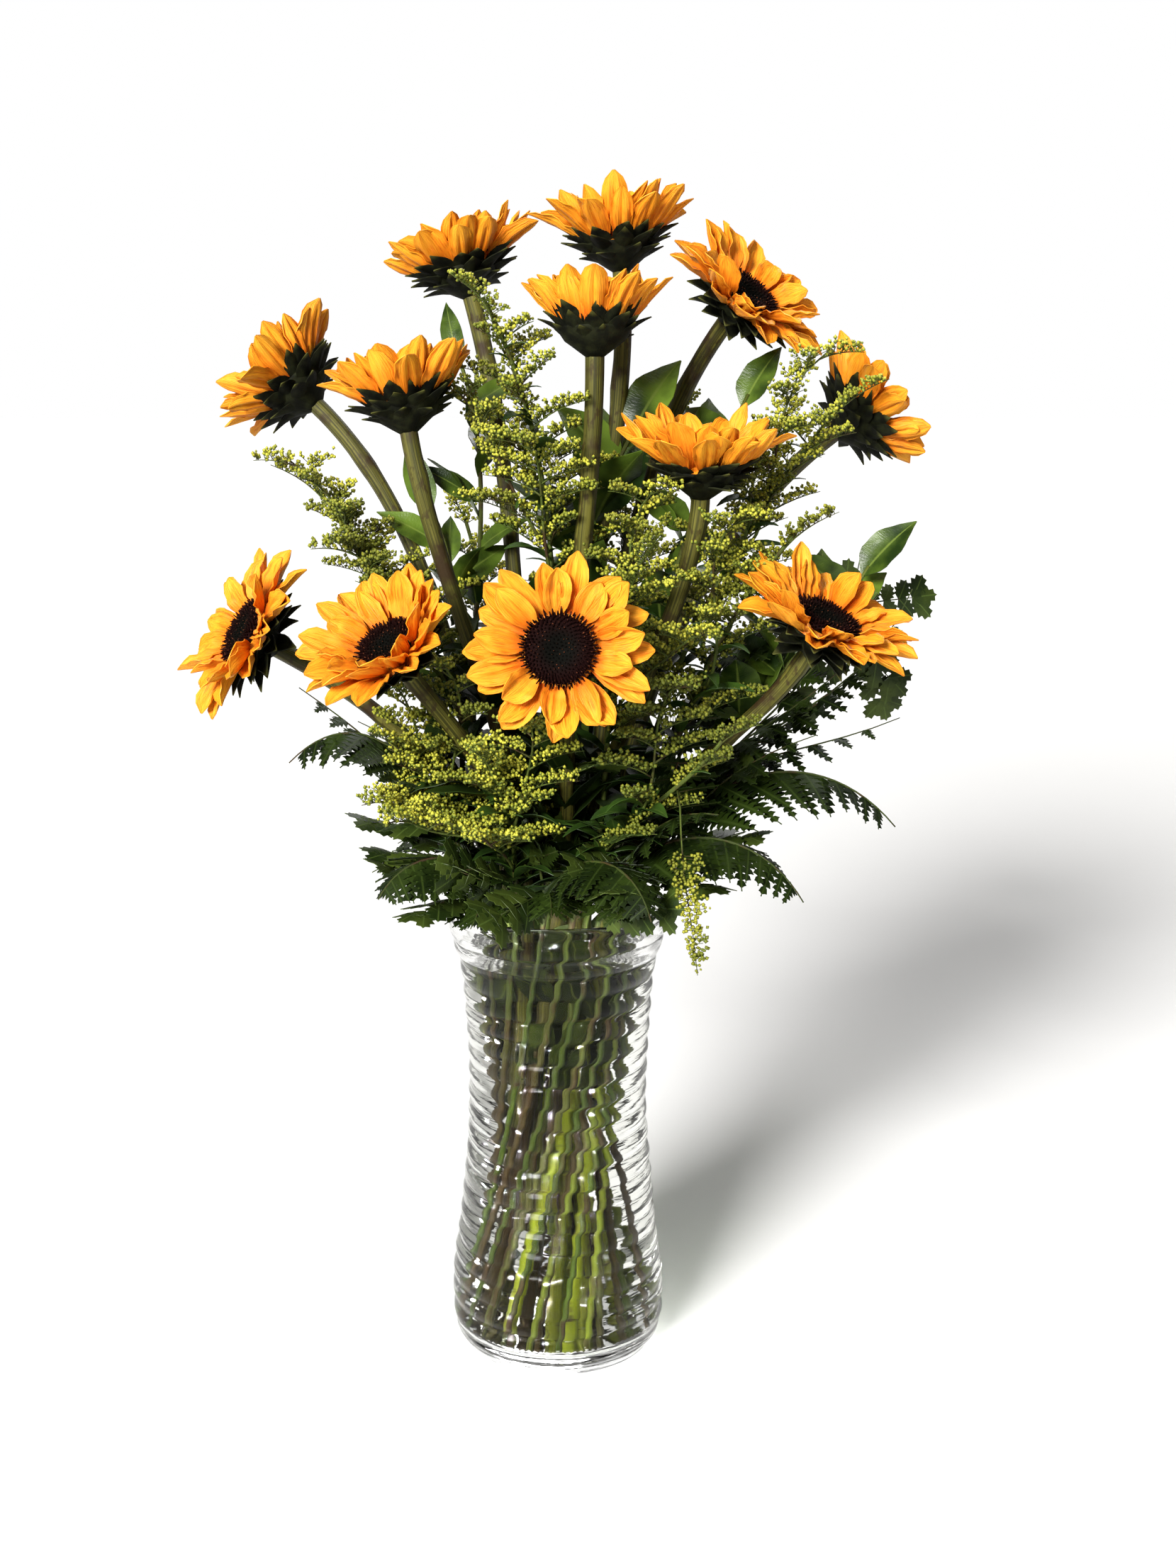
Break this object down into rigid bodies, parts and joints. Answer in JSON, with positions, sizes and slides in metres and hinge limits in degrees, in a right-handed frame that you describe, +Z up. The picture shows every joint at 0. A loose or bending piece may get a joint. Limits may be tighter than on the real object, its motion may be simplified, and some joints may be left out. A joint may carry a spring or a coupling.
{
  "type": "sunflowers in a vase",
  "caption": "Bouquet of cut sunflowers with goldenrod, fern and leafy greens, standing in water in a tall waisted vase of rippled clear glass.",
  "frame": {"origin": "middle of the vase's flat underside", "axes": "+Z up along the vase's axis; -Y toward the front of the bouquet, where the lowest sunflower looks out level; +X to the right seen from the front"},
  "size_m": [0.4273, 0.3051, 0.6934],
  "materials": {
    "glass": "clear, rippled",
    "water": "clear",
    "flower_stem": "green, softly ribbed and hairy",
    "petal": "satin, finely grooved",
    "disc": "matt, bristly",
    "goldenrod": "matt",
    "leaf": "glossy",
    "fern": "satin"
  },
  "bodies": {
    "root": {"vase": "glass", "water": "water", "sunflower_1_stem": "flower_stem", "sunflower_1_disc": "disc", "sunflower_1_petals": "petal", "sunflower_2_stem": "flower_stem", "sunflower_2_disc": "disc", "sunflower_2_petals": "petal", "sunflower_3_stem": "flower_stem", "sunflower_3_disc": "disc", "sunflower_3_petals": "petal", "sunflower_4_stem": "flower_stem", "sunflower_4_disc": "disc", "sunflower_4_petals": "petal", "sunflower_5_stem": "flower_stem", "sunflower_5_disc": "disc", "sunflower_5_petals": "petal", "sunflower_6_stem": "flower_stem", "sunflower_6_disc": "disc", "sunflower_6_petals": "petal", "sunflower_7_stem": "flower_stem", "sunflower_7_disc": "disc", "sunflower_7_petals": "petal", "sunflower_8_stem": "flower_stem", "sunflower_8_disc": "disc", "sunflower_8_petals": "petal", "sunflower_9_stem": "flower_stem", "sunflower_9_disc": "disc", "sunflower_9_petals": "petal", "sunflower_10_stem": "flower_stem", "sunflower_10_disc": "disc", "sunflower_10_petals": "petal", "sunflower_11_stem": "flower_stem", "sunflower_11_disc": "disc", "sunflower_11_petals": "petal", "sunflower_12_stem": "flower_stem", "sunflower_12_disc": "disc", "sunflower_12_petals": "petal", "goldenrod_1": "goldenrod", "goldenrod_2": "goldenrod", "goldenrod_3": "goldenrod", "goldenrod_4": "goldenrod", "goldenrod_5": "goldenrod", "goldenrod_6": "goldenrod", "goldenrod_7": "goldenrod", "goldenrod_8": "goldenrod", "goldenrod_9": "goldenrod", "goldenrod_10": "goldenrod", "leafy_stem_1": "leaf", "leafy_stem_2": "leaf", "leafy_stem_3": "leaf", "leafy_stem_4": "leaf", "leafy_stem_5": "leaf", "fern_1": "fern", "fern_2": "fern", "fern_3": "fern", "fern_4": "fern", "fern_5": "fern", "fern_6": "fern", "fern_7": "fern"}
  },
  "joints": []
}
